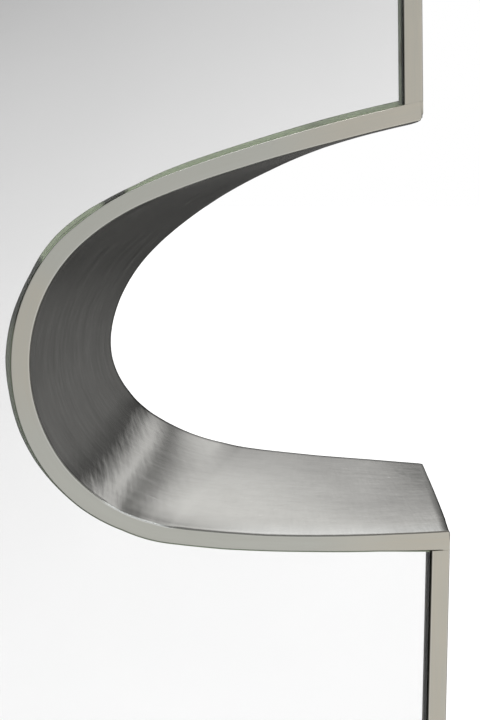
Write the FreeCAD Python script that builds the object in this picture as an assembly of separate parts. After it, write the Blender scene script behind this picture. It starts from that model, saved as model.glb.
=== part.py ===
import FreeCAD, Part
import math
import os

# Accent mirror for a wall: a flat glass in a welded metal case with a deep curved
# notch let into its right side, lined by one bent and twisted metal band.
# Row frame in millimetres: X to the right, Z up, the wall is the plane y = 0 and
# the front face looks along -Y. The origin is the middle of the back panel.

os.makedirs("parts", exist_ok=True)

# Overall sizes of the case
case_width = 610.0
case_height = 914.0
case_depth = 90.0
side_step = 13.5
upper_lean_deg = 0.5
lower_lean_deg = 1.35

# Notch: where its outline starts, and how it runs on the front and at the wall.
# Each outline is a chain of tangent arcs, from the upper right corner round to the
# lower right corner. Both chains share their turns, so that the band between them
# bends without stretching, apart from the last arc, where the front turns further.
notch_top = 103.0
back_rise = 5.5
notch_heading_deg = 192.1
shared_turns_deg = (7.25, 21.3, 35.2, 65.9, 31.8)
front_last_turn_deg = 10.3
back_last_turn_deg = 1.85
front_radii = (1037.0, 133.6, 80.5, 82.4, 76.6, 779.0)
back_radii = (419.0, 306.0, 97.3, 51.0, 129.0, 3430.0)

# Metal case
strip_width = 9.4
strip_thickness = 3.0
sheet = 1.5
strip_corner_radius = 2.0

# Mirror glass and what it is bedded on
glass_thickness = 6.0
glass_recess = 0.5
glass_gap = 1.3
glass_lift = 1.0
glass_left = 0.2
silver_thickness = 0.2
silver_border = 1.9
bead_width = 14.0
bead_thickness = 1.5
bead_end_gap = 40.0
board_thickness = 6.0
block_length = 40.0

# Timber carcass inside the case
fit = 0.3
batten_width = 18.0
panel_thickness = 3.0
former_thickness = 12.0
former_width = 26.0
post_side = 18.0
rail_height = 60.0
rail_thickness = 18.0

# Hanging
hanger_drop = 127.0
hanger_spacing = 400.0
plate_width = 20.0
plate_height = 54.0
plate_thickness = 2.0
keyhole_radius = 5.0
keyslot_radius = 2.4
keyslot_rise = 11.0
plate_screw_pitch = 42.0
pocket_depth = 9.0

# Corner blocks and screws
corner_block_leg = 45.0
corner_block_clearance = 4.0
screw_radius = 1.6
screw_head_radius = 3.4
screw_head_height = 1.8
screw_length = 15.0

# How far each cutting shape runs past what it cuts
overrun = 5.0

# Where an arc is measured along its turn: start, middle and end
arc_shares = (0, 0.5, 1)

# Planes from the front to the wall
front_y = -case_depth
strip_back_y = front_y + strip_thickness
glass_front_y = front_y + glass_recess
glass_back_y = glass_front_y + glass_thickness
silver_back_y = glass_back_y + silver_thickness
board_front_y = silver_back_y + bead_thickness
board_back_y = board_front_y + board_thickness
panel_front_y = -panel_thickness

# Insets from the outside of the case, and the same offsets round the notch
glass_inset = strip_width + glass_gap
silver_inset = glass_inset + silver_border
inner_inset = sheet + fit
batten_inset = inner_inset + batten_width
former_inset = inner_inset + former_width

# How far the notch's outlines run on, past the right side at any offset
notch_reach = side_step + former_inset

half_width = case_width / 2
half_height = case_height / 2
upper_side_x = half_width - side_step
hanger_height = half_height - hanger_drop


def save(shape, name):
    """Write one sub-part, given as a solid or as a list of separate solids."""
    if isinstance(shape, list):
        shape = Part.Compound(shape)
    if len(shape.Solids) == 1:
        shape = shape.Solids[0]
    shape.exportStep("parts/" + name + ".step")


def point(x, y, z):
    return FreeCAD.Vector(x, y, z)


def arc_chain(start_z, radii, last_turn_deg, offset, y):
    """Edges of a chain of tangent left-hand arcs in the plane y, moved by offset to
    the right of its travel, with straight ends that run on past the case."""
    heading = math.radians(notch_heading_deg)
    turns = [math.radians(turn) for turn in shared_turns_deg + (last_turn_deg,)]
    x = upper_side_x + offset * math.sin(heading)
    z = start_z - offset * math.cos(heading)
    lead = point(x - notch_reach * math.cos(heading), y, z - notch_reach * math.sin(heading))
    edges = [Part.makeLine(lead, point(x, y, z))]
    for radius, turn in zip(radii, turns):
        arc_radius = radius + offset
        centre_x = x - arc_radius * math.sin(heading)
        centre_z = z + arc_radius * math.cos(heading)
        places = []
        for share in arc_shares:
            along = heading + turn * share
            places.append(point(centre_x + arc_radius * math.sin(along), y,
                                centre_z - arc_radius * math.cos(along)))
        edges.append(Part.Arc(*places).toShape())
        heading += turn
        x, z = places[-1].x, places[-1].z
    tail = point(x + notch_reach * math.cos(heading), y, z + notch_reach * math.sin(heading))
    edges.append(Part.makeLine(point(x, y, z), tail))
    edges.append(Part.makeLine(tail, lead))
    return edges


def front_chain(offset, y):
    """The notch's outline on the front face."""
    return arc_chain(notch_top, front_radii, front_last_turn_deg, offset, y)


def back_chain(offset, y):
    """The notch's outline at the wall, which starts higher and closes in at the left."""
    return arc_chain(notch_top + back_rise, back_radii, back_last_turn_deg, offset, y)


def notch_prism(offset, y0, y1):
    """The front outline of the notch, carried straight back from y0 to y1."""
    face = Part.Face(Part.Wire(front_chain(offset, y0)))
    return face.extrude(point(0, y1 - y0, 0))


def notch_warp(offset):
    """The notch behind the face strip: ruled from the front outline to the wall's."""
    front = Part.Wire(front_chain(offset, strip_back_y))
    back = Part.Wire(back_chain(offset, 0))
    return Part.makeLoft([front, back], True, True)


def notch_end():
    """Where the front outline of the notch ends, at the lower right corner."""
    last_arc = front_chain(0, 0)[len(front_radii)]
    return last_arc.Vertexes[-1].Point


notch_bottom = notch_end().z
upper_lean = math.radians(upper_lean_deg)
lower_lean = math.radians(lower_lean_deg)


def upper_x(z, inset):
    """The upper right side, inset from the outside, at the height z."""
    return upper_side_x - math.tan(upper_lean) * (z - notch_top) - inset / math.cos(upper_lean)


def lower_x(z, inset):
    """The lower right side, which stands further out and leans in towards its foot."""
    return half_width - math.tan(lower_lean) * (notch_bottom - z) - inset / math.cos(lower_lean)


def corners(inset):
    """Corners of the case's front outline, inset, with the step inside the notch."""
    top = half_height - inset
    bottom = -half_height + inset
    middle = (notch_top + notch_bottom) / 2
    return {
        "top_left": (-half_width + inset, top),
        "top_right": (upper_x(top, inset), top),
        "upper_end": (upper_x(middle, inset), middle),
        "lower_end": (lower_x(middle, inset), middle),
        "bottom_right": (lower_x(bottom, inset), bottom),
        "bottom_left": (-half_width + inset, bottom),
    }


def prism(places, y0, y1):
    """A straight block from y0 to y1 over a polygon of (x, z) places."""
    wire = Part.makePolygon([point(x, y0, z) for x, z in places + places[:1]])
    return Part.Face(wire).extrude(point(0, y1 - y0, 0))


def plate(inset, y0, y1):
    """The whole outline of the case, inset, from y0 to y1, with no notch yet."""
    return prism(list(corners(inset).values()), y0, y1)


side_ends = {
    "top": ("top_left", "top_right"),
    "left": ("bottom_left", "top_left"),
    "bottom": ("bottom_right", "bottom_left"),
    "right_upper": ("top_right", "upper_end"),
    "right_lower": ("lower_end", "bottom_right"),
}


def side_bar(side, from_inset, to_inset, y0, y1):
    """One side of the case between two insets, mitred into its neighbours."""
    first, second = side_ends[side]
    outer = corners(from_inset)
    inner = corners(to_inset)
    return prism([outer[first], outer[second], inner[second], inner[first]], y0, y1)


def round_corner(solid, side_x, corner_z, radius):
    """Round the edge along Y that lies on the case's side and nearest to the height."""
    upright = []
    for edge in solid.Edges:
        middle = edge.CenterOfMass
        along_y = abs(edge.tangentAt(edge.FirstParameter).y) > math.cos(upper_lean)
        if along_y and abs(middle.x - side_x(middle.z, 0)) < fit:
            upright.append(edge)
    nearest = min(upright, key=lambda edge: abs(edge.CenterOfMass.z - corner_z))
    return solid.makeFillet(radius, [nearest])


def make_strips():
    """Flat polished bar round the face; the bent notch strip runs through."""
    beyond = notch_prism(strip_width, front_y, strip_back_y)
    for side in side_ends:
        bar = side_bar(side, 0, strip_width, front_y, strip_back_y)
        save(bar.cut(beyond), "strip_" + side)
    bent = beyond.cut(notch_prism(0, front_y, strip_back_y))
    bent = bent.common(plate(0, front_y, strip_back_y))
    bent = round_corner(bent.Solids[0], upper_x, notch_top, strip_corner_radius)
    bent = round_corner(bent, lower_x, notch_bottom, strip_corner_radius)
    save(bent, "strip_notch")


def make_skirts():
    """Sheet sides of the case from the strips back to the wall, and the notch band."""
    lined = notch_warp(sheet)
    for side in side_ends:
        skirt = side_bar(side, 0, sheet, strip_back_y, 0)
        save(skirt.cut(lined), "skirt_" + side)
    band = lined.cut(notch_warp(0)).common(plate(0, strip_back_y, 0))
    save(band, "notch_band")


def glazed(inset, y0, y1):
    """A layer of the mirror: the case's outline and notch, both inset and lifted."""
    layer = plate(inset, y0, y1).cut(notch_prism(inset, y0, y1))
    layer.translate(point(-glass_left, 0, glass_lift))
    return layer


def mastic_beads():
    """Upright beads of mastic between the silvering and the board, clear of the notch."""
    near_notch = notch_prism(silver_inset + bead_width, silver_back_y, board_front_y)
    top = half_height - bead_end_gap
    column_shares = (-0.8, -0.4, 0, 0.4, 0.8)
    beads = []
    for share in column_shares:
        left = share * half_width - bead_width / 2
        right = left + bead_width
        bead = prism([(left, -top), (right, -top), (right, top), (left, top)],
                     silver_back_y, board_front_y)
        beads += bead.cut(near_notch).Solids
    return beads


def make_mirror():
    """Glass with its silvering, glued with mastic beads to the board behind."""
    save(glazed(glass_inset, glass_front_y, glass_back_y), "mirror_glass")
    save(glazed(silver_inset, glass_back_y, silver_back_y), "mirror_silvering")
    save(mastic_beads(), "mastic_beads")
    board = plate(inner_inset, board_front_y, board_back_y).cut(notch_warp(inner_inset))
    save(board, "backing_board")


def make_setting_blocks():
    """Rubber blocks on the bottom skirt that carry the lower edge of the glass."""
    bottom = -half_height + sheet
    top = -half_height + glass_inset + glass_lift
    block_shares = (-0.5, 0.5)
    blocks = []
    for share in block_shares:
        left = share * half_width - block_length / 2
        right = left + block_length
        places = [(left, bottom), (right, bottom), (right, top), (left, top)]
        blocks.append(prism(places, strip_back_y, glass_back_y))
    save(blocks, "setting_blocks")


def screw(head, direction):
    """A countersunk screw whose head is flush at the point head, driven along direction."""
    cone = Part.makeCone(screw_head_radius, screw_radius, screw_head_height, head, direction)
    neck = head + direction * screw_head_height
    shank = Part.makeCylinder(screw_radius, screw_length - screw_head_height, neck, direction)
    return cone.fuse(shank).Solids[0]


def cut_all(shape, tools):
    """Cut a list of solids out of a shape."""
    return shape.cut(Part.Compound(tools))


def plate_screws():
    """Two screws in each hanger plate, above and below its keyhole."""
    face_y = panel_front_y + plate_thickness
    screws = []
    for side in (-1, 1):
        for end in (-1, 1):
            x = side * hanger_spacing / 2
            z = hanger_height + end * plate_screw_pitch / 2
            screws.append(screw(point(x, face_y, z), point(0, -1, 0)))
    return screws


def hanger_places():
    """The two keyholes' entry holes, as (x, z)."""
    return [(side * hanger_spacing / 2, hanger_height) for side in (-1, 1)]


def slot_solid(x, z, radius, rise, y0, y1):
    """A round-ended upright slot, from y0 to y1, that starts at (x, z) and rises."""
    low = Part.makeCylinder(radius, y1 - y0, point(x, y0, z), point(0, 1, 0))
    high = Part.makeCylinder(radius, y1 - y0, point(x, y0, z + rise), point(0, 1, 0))
    sides = [(x - radius, z), (x + radius, z), (x + radius, z + rise), (x - radius, z + rise)]
    return low.fuse([high, prism(sides, y0, y1)]).removeSplitter()


def hanger_blank(x, z, y0, y1, grow):
    """The hanger plate's flat bar, from y0 to y1, grown all round."""
    half_plate = plate_width / 2 + grow
    reach = plate_height / 2 + grow
    places = [(x - half_plate, z - reach), (x + half_plate, z - reach),
              (x + half_plate, z + reach), (x - half_plate, z + reach)]
    return prism(places, y0, y1)


def make_hangers():
    """Keyhole plates, let into the back panel and screwed to the hanging rail."""
    face_y = panel_front_y + plate_thickness
    plates = []
    for x, z in hanger_places():
        blank = hanger_blank(x, z, panel_front_y, face_y, 0)
        low = panel_front_y - overrun
        high = face_y + overrun
        entry = Part.makeCylinder(keyhole_radius, high - low, point(x, low, z), point(0, 1, 0))
        slot = slot_solid(x, z, keyslot_radius, keyslot_rise, low, high)
        plates.append(cut_all(blank.cut(entry).cut(slot), plate_screws()))
    save(plates, "hanger_plates")
    save(plate_screws(), "hanger_screws")


def make_back_panel():
    """Back panel with windows for the hanger plates."""
    panel = plate(inner_inset, panel_front_y, 0).cut(notch_warp(inner_inset))
    for x, z in hanger_places():
        panel = panel.cut(hanger_blank(x, z, panel_front_y - overrun, overrun, fit))
    save(panel, "back_panel")


block_corners = {
    "top_left": (1, -1),
    "top_right": (-1, -1),
    "bottom_right": (-1, 1),
    "bottom_left": (1, 1),
}


def make_corner_blocks():
    """Three-sided glue blocks in the corners of the carcass, clear of board and rail."""
    front_end_y = board_back_y + corner_block_clearance
    back_end_y = panel_front_y - rail_thickness - corner_block_clearance
    blocks = []
    for name, (right, up) in block_corners.items():
        x, z = corners(batten_inset)[name]
        far_z = z + up * corner_block_leg
        far_x = x
        if name == "top_right":
            far_x = upper_x(far_z, batten_inset)
        if name == "bottom_right":
            far_x = lower_x(far_z, batten_inset)
        places = [(x, z), (x + right * corner_block_leg, z), (far_x, far_z)]
        blocks.append(prism(places, front_end_y, back_end_y))
    save(blocks, "corner_blocks")


def make_carcass():
    """Timber battens, the notch formers and posts, and the hanging rail."""
    beyond = notch_warp(former_inset)
    for side in side_ends:
        batten = side_bar(side, inner_inset, batten_inset, board_back_y, panel_front_y)
        save(batten.cut(beyond), "batten_" + side)
    ring = beyond.cut(notch_warp(inner_inset))
    levels = (("front", board_back_y), ("back", panel_front_y - former_thickness))
    for name, y0 in levels:
        former = ring.common(plate(inner_inset, y0, y0 + former_thickness))
        save(former, "notch_former_" + name)
    make_posts(board_back_y + former_thickness, panel_front_y - former_thickness)
    make_rail()


def make_posts(y0, y1):
    """Square posts that tie the two formers together round the notch, and lean with it."""
    posts = []
    for front, back in zip(post_centres(front_chain), post_centres(back_chain)):
        ends = []
        for y in (y0, y1):
            share = y / strip_back_y
            x = front.x * share + back.x * (1 - share)
            z = front.z * share + back.z * (1 - share)
            half = post_side / 2
            sides = ((-half, -half), (half, -half), (half, half), (-half, half), (-half, -half))
            ends.append(Part.makePolygon([point(x + dx, y, z + dz) for dx, dz in sides]))
        posts.append(Part.makeLoft(ends, True, True))
    save(posts, "notch_posts")


def post_centres(chain):
    """Places in the middle of the former's width, one at the middle of each arc."""
    arcs = chain(inner_inset + former_width / 2, 0)[1:len(front_radii) + 1]
    return [arc.valueAt((arc.FirstParameter + arc.LastParameter) / 2) for arc in arcs]


def make_rail():
    """Hanging rail across the carcass, with a pocket behind each keyhole."""
    low = hanger_height - rail_height / 2
    high = hanger_height + rail_height / 2
    y0 = panel_front_y - rail_thickness
    left = -half_width + batten_inset
    places = [(left, low), (upper_x(low, batten_inset), low),
              (upper_x(high, batten_inset), high), (left, high)]
    rail = prism(places, y0, panel_front_y)
    for x, z in hanger_places():
        pocket_y = panel_front_y - pocket_depth
        pocket = slot_solid(x, z, keyhole_radius + fit, keyslot_rise, pocket_y, panel_front_y)
        rail = rail.cut(pocket)
    save(cut_all(rail, plate_screws()), "hanging_rail")


make_strips()
make_skirts()
make_mirror()
make_setting_blocks()
make_hangers()
make_back_panel()
make_carcass()
make_corner_blocks()
print("notch ends at x %.1f, z %.1f" % (notch_end().x, notch_end().z))
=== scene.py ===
import math

import bpy
import numpy as np
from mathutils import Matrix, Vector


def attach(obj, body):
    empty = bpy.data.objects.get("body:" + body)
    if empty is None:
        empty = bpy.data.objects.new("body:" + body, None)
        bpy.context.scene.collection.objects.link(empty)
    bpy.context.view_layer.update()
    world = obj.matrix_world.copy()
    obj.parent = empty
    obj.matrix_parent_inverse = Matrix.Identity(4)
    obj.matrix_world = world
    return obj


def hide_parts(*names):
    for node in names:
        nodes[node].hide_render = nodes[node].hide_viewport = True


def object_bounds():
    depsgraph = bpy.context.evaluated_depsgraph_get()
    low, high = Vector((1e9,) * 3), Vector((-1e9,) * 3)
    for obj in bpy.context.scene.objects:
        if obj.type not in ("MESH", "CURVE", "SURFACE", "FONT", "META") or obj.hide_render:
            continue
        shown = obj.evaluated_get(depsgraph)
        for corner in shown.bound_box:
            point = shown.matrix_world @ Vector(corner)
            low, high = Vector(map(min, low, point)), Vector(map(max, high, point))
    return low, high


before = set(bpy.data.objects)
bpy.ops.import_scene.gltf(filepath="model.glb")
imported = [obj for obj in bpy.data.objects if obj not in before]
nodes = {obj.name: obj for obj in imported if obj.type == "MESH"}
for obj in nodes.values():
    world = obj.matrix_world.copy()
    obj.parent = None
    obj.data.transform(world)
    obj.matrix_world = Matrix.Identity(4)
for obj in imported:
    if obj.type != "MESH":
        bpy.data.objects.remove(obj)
cad_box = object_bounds()
scene = bpy.context.scene
mm = 0.001

# Camera: square to the mirror's face and 360 mm in front of it, at the height of the
# notch's upper part. The photograph is a crop, and the lens shift gives that crop.
def add_object(name, data):
    """A new object with its data, in the scene."""
    made = bpy.data.objects.new(name, data)
    scene.collection.objects.link(made)
    return made


camera_data = bpy.data.cameras.new("camera")
camera_data.lens = 36
camera_data.sensor_width = 36
camera_data.shift_x = -0.0989
camera_data.shift_y = -0.2294
camera_data.clip_start = 0.01
camera = add_object("camera", camera_data)
camera.location = (0.23535, -0.450, 0.0656)
camera.rotation_euler = (math.radians(90), 0, 0)
scene.camera = camera
scene.view_settings.view_transform = "Standard"


# Studio: white behind the mirror, a soft grey to white sweep in front of it, which
# the glass reflects, and a dim room low behind it with a light sky above, which the
# brushed band reflects. One long lamp overhead draws a line of light on rounded edges.
def linear(colour):
    """The linear colour, with alpha 1, of an sRGB hex colour such as 0xb0ada5."""
    parts = [(colour >> shift & 255) / 255 for shift in (16, 8, 0)]
    return [p / 12.92 if p <= 0.04045 else ((p + 0.055) / 1.055) ** 2.4 for p in parts] + [1]


def add_node(tree, kind, parts, stops=()):
    """A shader node. Each part is a property, or an input by name or number, with its
    value or with what feeds it: an output, or a node, which feeds it from its output in
    use. Stops are a ramp's places and colours."""
    made = tree.nodes.new("ShaderNode" + kind)
    for name, value in parts.items():
        if isinstance(value, bpy.types.Node):
            value = next(output for output in value.outputs if output.enabled)
        if isinstance(name, str) and hasattr(made, name):
            setattr(made, name, value)
        elif isinstance(value, bpy.types.NodeSocket):
            tree.links.new(value, made.inputs[name])
        else:
            made.inputs[name].default_value = value
    if stops:
        elements = made.color_ramp.elements
        while len(elements) < len(stops):
            elements.new(0.5)
        for element, (place, colour) in zip(elements, stops):
            element.position = place
            element.color = linear(colour)
    return made


def start_material(name):
    """A new material with nothing in its node tree, and that tree."""
    material = bpy.data.materials.new(name)
    material.use_nodes = True
    material.node_tree.nodes.clear()
    return material, material.node_tree


world = bpy.data.worlds.new("studio")
scene.world = world
world.use_nodes = True
sky = world.node_tree
sky.nodes.clear()
way = add_node(sky, "TexCoord", {}).outputs["Generated"]
axes = add_node(sky, "SeparateXYZ", {0: way}).outputs
# In front: brighter downwards and to the right, from grey overhead to white at the floor
slope = add_node(sky, "Math", {"operation": "MULTIPLY_ADD", 0: axes["X"], 1: 0.27, 2: 0.5})
fall = add_node(sky, "Math", {"operation": "MULTIPLY_ADD", 0: axes["Z"], 1: -0.5, 2: slope})
front_sweep = add_node(sky, "ValToRGB", {"Fac": fall}, (
    (0.2, 0xa4a4a4), (0.275, 0xbdbdbd), (0.3, 0xc6c6c6), (0.325, 0xcdcdcd), (0.35, 0xd3d3d3),
    (0.375, 0xd8d8d8), (0.4, 0xdddddd), (0.425, 0xe1e1e1), (0.45, 0xe5e5e5), (0.5, 0xececec),
    (0.55, 0xf2f2f2), (0.6, 0xf7f7f7), (0.65, 0xfbfbfb), (0.7, 0xfdfdfd), (0.75, 0xffffff)))
# Behind: turns round the mirror's own depth axis, from the left (0) under the floor to
# the right (0.5) and over the top (0.75). The sky light fades towards the wall ahead.
turn = add_node(sky, "Math", {"operation": "ARCTAN2", 0: axes["Z"], 1: axes["X"]})
share = add_node(sky, "Math", {"operation": "MULTIPLY_ADD", 0: turn, 1: 1 / (2 * math.pi), 2: 0.5})
dim_room = add_node(sky, "ValToRGB", {"Fac": share}, (
    (0.0, 0x4c4c4c), (0.2, 0x434343), (0.33, 0x474747), (0.36, 0x565656), (0.4, 0x686868),
    (0.5, 0x727272), (0.585, 0x767676), (0.61, 0x5e5e5e), (0.65, 0x545454), (1.0, 0x4c4c4c)))
# The sky's lower edge climbs towards the wall ahead, and what is above it sinks
climb = add_node(sky, "MapRange", {"Value": axes["Y"], "From Min": 0.898, "From Max": 0.94,
                                   "To Max": 0.03})
sunk = add_node(sky, "Math", {"operation": "MULTIPLY_ADD", 0: climb, 1: 0.5, 2: share})
top_light = add_node(sky, "ValToRGB", {"Fac": sunk}, (
    (0.6, 0x000000), (0.61, 0xb4b4b4), (0.652, 0xb4b4b4), (0.67, 0xe0e0e0), (0.69, 0x585858),
    (0.71, 0xb8b8b8), (0.735, 0xe4e4e4), (0.755, 0xffffff), (0.775, 0xffffff),
    (0.8, 0xf0f0f0), (0.85, 0xf4f4f4), (0.93, 0x8c8c8c), (1.0, 0x000000)))
faded = add_node(sky, "Math", {"operation": "MULTIPLY_ADD", 0: axes["X"], 1: 2.5, 2: 0.72})
fading = add_node(sky, "MapRange", {"Value": axes["Y"], "From Min": 0.8, "From Max": 0.98,
                                    "To Min": 1.12, "To Max": faded})
above = add_node(sky, "Math", {"operation": "SUBTRACT", 0: share, 1: climb})
edge = add_node(sky, "MapRange", {"Value": above, "From Min": 0.628, "From Max": 0.654})
over_edge = add_node(sky, "Math", {"operation": "MULTIPLY", 0: fading, 1: edge})
back_room = add_node(sky, "VectorMath", {"operation": "MULTIPLY_ADD", 0: top_light, 1: over_edge,
                                         2: dim_room})
# Between the two, the sweep in front gives way to the room behind
depth = add_node(sky, "MapRange", {"Value": axes["Y"], "From Min": -0.74, "From Max": -0.25,
                                   "interpolation_type": "SMOOTHSTEP"})
room = add_node(sky, "Mix", {"data_type": "RGBA", 0: depth, 6: front_sweep, 7: back_room})
room_light = add_node(sky, "Background", {"Color": room})
white_light = add_node(sky, "Background", {"Color": (1, 1, 1, 1)})
seen = add_node(sky, "LightPath", {}).outputs["Is Camera Ray"]
light = add_node(sky, "MixShader", {0: seen, 1: room_light, 2: white_light})
add_node(sky, "OutputWorld", {"Surface": light})

lamp_data = bpy.data.lights.new("overhead_strip_lamp", "AREA")
lamp_data.shape = "RECTANGLE"
lamp_data.size = 1.8
lamp_data.size_y = 0.35
lamp_data.energy = 6
lamp = add_object("overhead_strip_lamp", lamp_data)
lamp.location = (0.15, -0.55, 1.35)
lamp.rotation_euler = (math.radians(20), 0, 0)

# The floor shows to the camera alone, and keeps the object's shadow
floor_half = 30.0
floor_z = cad_box[0].z - 0.2 * mm
floor_mesh = bpy.data.meshes.new("floor")
floor_corners = ((-1, -1), (1, -1), (1, 1), (-1, 1))
floor_mesh.from_pydata([(floor_half * x, floor_half * y, floor_z) for x, y in floor_corners],
                       [], [(0, 1, 2, 3)])
floor = add_object("floor", floor_mesh)
for ray in ("diffuse", "glossy", "transmission", "shadow"):
    setattr(floor, "visible_" + ray, False)
pale_floor, tree = start_material("pale_painted_floor")
paint = add_node(tree, "BsdfDiffuse", {"Color": linear(0xf4f4f2)})
lift = add_node(tree, "Emission", {"Color": (1, 1, 1, 1), "Strength": 0.62})
both = add_node(tree, "AddShader", {0: paint, 1: lift})
add_node(tree, "OutputMaterial", {"Surface": both})
floor_mesh.materials.append(pale_floor)


# Notch band: one sheet of brushed steel, bent round the notch and twisted a little, so
# that it closes in towards the wall. Its front edge lies in a rebate behind the face
# strip, its long edges are rolled over by the polishing wheel, and its grain runs along it.
case_depth = 90 * mm
strip_back = -87 * mm
sheet = 1.5 * mm
# The notch's two outlines, at the face and at the wall, set out from the upper side on
# one heading, and turn by the same angles, in degrees, in all of their arcs but the last
start_heading = math.radians(192.1)
shared_turns = (7.25, 21.3, 35.2, 65.9, 31.8)
upper_side = 291.5 * mm
lower_side = 305 * mm
notch_top = 103 * mm


def arc_chain(start_z, radii, last_turn):
    """A chain of tangent arcs: centres, radii, headings at their starts, and turns.
    Each centre lies one radius to the left of the heading, and the next arc starts
    where the last one ends."""
    turns = np.radians(shared_turns + (last_turn,))
    headings = start_heading + np.concatenate([[0], np.cumsum(turns)])[:-1]
    x, z = upper_side, start_z
    centres = []
    for radius, heading, turn_here in zip(radii, headings, turns):
        centre = (x - radius * math.sin(heading), z + radius * math.cos(heading))
        x = centre[0] + radius * math.sin(heading + turn_here)
        z = centre[1] - radius * math.cos(heading + turn_here)
        centres.append(centre)
    return np.array(centres), np.array(radii), headings, turns


front_outline = arc_chain(notch_top, np.array((1037, 133.6, 80.5, 82.4, 76.6, 779)) * mm, 10.3)
wall_outline = arc_chain(notch_top + 5.5 * mm, np.array((419, 306, 97.3, 51, 129, 3430)) * mm, 1.85)
arc_count = len(shared_turns) + 1


def on_outline(outline, place, offset):
    """Points (x, z) of an outline. Place runs from 0 to 6 through its arcs, and its
    excess at either end is a straight run in metres. Offset moves it into the case."""
    centres, radii, headings, turns = outline
    arc = np.clip(np.floor(place).astype(int), 0, arc_count - 1)
    heading = headings[arc] + turns[arc] * np.clip(place - arc, 0, 1)
    straight = place - np.clip(place, 0, arc_count)
    x = centres[arc, 0] + (radii[arc] + offset) * np.sin(heading) + straight * np.cos(heading)
    z = centres[arc, 1] - (radii[arc] + offset) * np.cos(heading) + straight * np.sin(heading)
    return x, z


def on_notch(place, y, offset):
    """Points (x, z) of the notch at the depth y: the front outline as far as the face
    strip's back, and from there straight lines to the wall outline."""
    along = np.clip(1 - y / strip_back, 0, 1)
    front_x, front_z = on_outline(front_outline, place, offset)
    wall_x, wall_z = on_outline(wall_outline, place, offset)
    return front_x + (wall_x - front_x) * along, front_z + (wall_z - front_z) * along


notch_bottom = on_outline(front_outline, np.array(float(arc_count)), 0)[1]
upper_lean = math.radians(0.5)
lower_lean = math.radians(1.35)


def upper_x(z, inset):
    """x of the upper right side at the height z, moved inwards by the inset."""
    return upper_side - math.tan(upper_lean) * (z - notch_top) - inset / math.cos(upper_lean)


def lower_x(z, inset):
    """x of the lower right side at the height z, moved inwards by the inset."""
    return lower_side - math.tan(lower_lean) * (notch_bottom - z) - inset / math.cos(lower_lean)


def crossing(y, offset, side_x, inset):
    """The place where the notch at depth y meets the upper or the lower right side,
    found by halving the span of places that it must lie in."""
    at_start = side_x is upper_x
    span = (-0.04, 0.3) if at_start else (5.7, 6.04)
    low, high = (np.full(np.broadcast(y, offset, inset).shape, bound) for bound in span)
    halvings = 40
    for _ in range(halvings):
        middle = (low + high) / 2
        x, z = on_notch(middle, y, offset)
        past = (x < side_x(z, inset)) == at_start
        high = np.where(past, middle, high)
        low = np.where(past, low, middle)
    return middle


def notch_places(count, ends):
    """Places along the notch, evenly spaced by length, with closer ones by the ends."""
    lengths = np.cumsum(np.concatenate([[0], (front_outline[1] + wall_outline[1]) / 2
                                        * front_outline[3]]))
    run = np.unique(np.concatenate([ends, np.linspace(ends[-1], lengths[-1] - ends[-1], count),
                                    lengths[-1] - ends]))
    return np.interp(run, lengths, np.arange(arc_count + 1)), run, lengths[-1]


def fade(gap, reach, full=1):
    """How strongly something that starts at an edge is felt at a gap from it: full at the
    edge, though never above 1, less by 1 for each reach, and nothing from there on."""
    return np.clip(full - gap / reach, 0, 1)


def near_ends(place):
    """How near places are to the notch's start and to its end: 1 there, and 0 from a
    fifth of an arc on."""
    return fade(place, 0.2), fade(arc_count - place, 0.2)


def fit_ends(place, y, offset):
    """Places stretched at both ends, so that each row of the grid stops on the case's
    side."""
    start, stop = near_ends(place[:, None])
    first = crossing(y, offset, upper_x, 0)
    last = crossing(y, offset, lower_x, 0)
    return place[:, None] + first * start + (last - arc_count) * stop


def make_piece(name, points, faces, materials, smooth_deg=40, floats=None, uv=None):
    """A mesh object with its place in its mesh, which rides on the one rigid body. Points
    are a grid of vertices. Floats are attributes for each vertex, and uv is a place in
    metres for each vertex."""
    mesh = bpy.data.meshes.new(name)
    mesh.from_pydata(points.reshape(-1, 3).tolist(), [], faces)
    for key, values in (floats or {}).items():
        mesh.attributes.new(key, "FLOAT", "POINT").data.foreach_set("value", values.ravel())
    if uv is not None:
        corner = np.zeros(len(mesh.loops), int)
        mesh.loops.foreach_get("vertex_index", corner)
        mesh.uv_layers.new(name="grain").data.foreach_set("uv", uv[corner].ravel())
    mesh.polygons.foreach_set("use_smooth", np.ones(len(mesh.polygons), bool))
    mesh.set_sharp_from_angle(angle=math.radians(smooth_deg))
    for material in materials:
        mesh.materials.append(material)
    piece = add_object(name, mesh)
    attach(piece, "root")
    return piece


def grain_map(along, across):
    """A piece's own map: the distance along it as U and round its section as V, in
    metres, for each vertex of the grid that the two make."""
    return np.stack(np.broadcast_arrays(along[:, None], across[None, :]), -1).reshape(-1, 2)


def round_profile(inset, y):
    """Distances round a cross-section, from its first point on."""
    return np.cumsum(np.hypot(np.diff(inset, prepend=inset[0]), np.diff(y, prepend=y[0])))


def loft_faces(rows, columns, close_rows=False):
    """Quads of a grid whose columns close into a loop, and whose rows are capped at
    both ends or close as well."""
    u, v = np.meshgrid(np.arange(rows if close_rows else rows - 1), np.arange(columns),
                       indexing="ij")
    u2, v2 = (u + 1) % rows, (v + 1) % columns
    quads = np.stack([u * columns + v, u * columns + v2, u2 * columns + v2, u2 * columns + v], -1)
    faces = quads.reshape(-1, 4).tolist()
    if not close_rows:
        faces.append(list(range(columns))[::-1])
        faces.append(list(range((rows - 1) * columns, rows * columns)))
    return faces


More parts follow.
